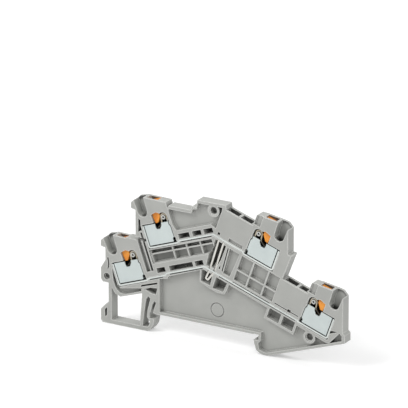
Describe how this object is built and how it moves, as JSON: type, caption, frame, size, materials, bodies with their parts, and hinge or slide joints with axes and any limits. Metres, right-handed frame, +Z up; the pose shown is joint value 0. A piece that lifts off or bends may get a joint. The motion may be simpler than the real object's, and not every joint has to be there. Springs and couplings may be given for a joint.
{
  "type": "double-level terminal block",
  "caption": "Double-level push-in terminal block for a 35 mm rail, open on one side, with clamp cages, springs, current bars and push buttons.",
  "frame": {"origin": "on the seat for the rail, midway between the rail's edges and midway through the block's thickness", "axes": "+X along the block's length towards the side of the fixed hook, -Y out of the open side where the clamps show, +Z up from the rail"},
  "size_m": [0.0791, 0.0036, 0.0428],
  "materials": {
    "housing_plastic": "fine satin grain",
    "bar_metal": "tin-plated copper, bright",
    "link_metal": "tin-plated copper, satin",
    "cage_metal": "tin-plated sheet, satin",
    "spring_metal": "spring steel, satin",
    "button_plastic": "smooth"
  },
  "bodies": {
    "block": {"housing": "housing_plastic", "upper_current_bar": "bar_metal", "lower_current_bar": "bar_metal", "level_link_contact": "link_metal", "upper_left_clamp_cage": "cage_metal", "upper_left_leaf_spring": "spring_metal", "lower_left_clamp_cage": "cage_metal", "lower_left_leaf_spring": "spring_metal", "upper_right_clamp_cage": "cage_metal", "upper_right_leaf_spring": "spring_metal", "lower_right_clamp_cage": "cage_metal", "lower_right_leaf_spring": "spring_metal"},
    "upper_left_button": {"upper_left_release_button": "button_plastic"},
    "lower_left_button": {"lower_left_release_button": "button_plastic"},
    "upper_right_button": {"upper_right_release_button": "button_plastic"},
    "lower_right_button": {"lower_right_release_button": "button_plastic"}
  },
  "joints": [
    {"name": "upper_left_press", "type": "slide", "parent": "block", "child": "upper_left_button", "axis": [0.3338, 0, -0.9426], "range_m": [0, 0.0015], "stiffness_N_per_m": 1500, "deforming": ["upper_left_leaf_spring"]},
    {"name": "lower_left_press", "type": "slide", "parent": "block", "child": "lower_left_button", "axis": [0.3338, 0, -0.9426], "range_m": [0, 0.0015], "stiffness_N_per_m": 1500, "deforming": ["lower_left_leaf_spring"]},
    {"name": "upper_right_press", "type": "slide", "parent": "block", "child": "upper_right_button", "axis": [-0.3338, 0, -0.9426], "range_m": [0, 0.0015], "stiffness_N_per_m": 1500, "deforming": ["upper_right_leaf_spring"]},
    {"name": "lower_right_press", "type": "slide", "parent": "block", "child": "lower_right_button", "axis": [-0.3338, 0, -0.9426], "range_m": [0, 0.0015], "stiffness_N_per_m": 1500, "deforming": ["lower_right_leaf_spring"]}
  ]
}
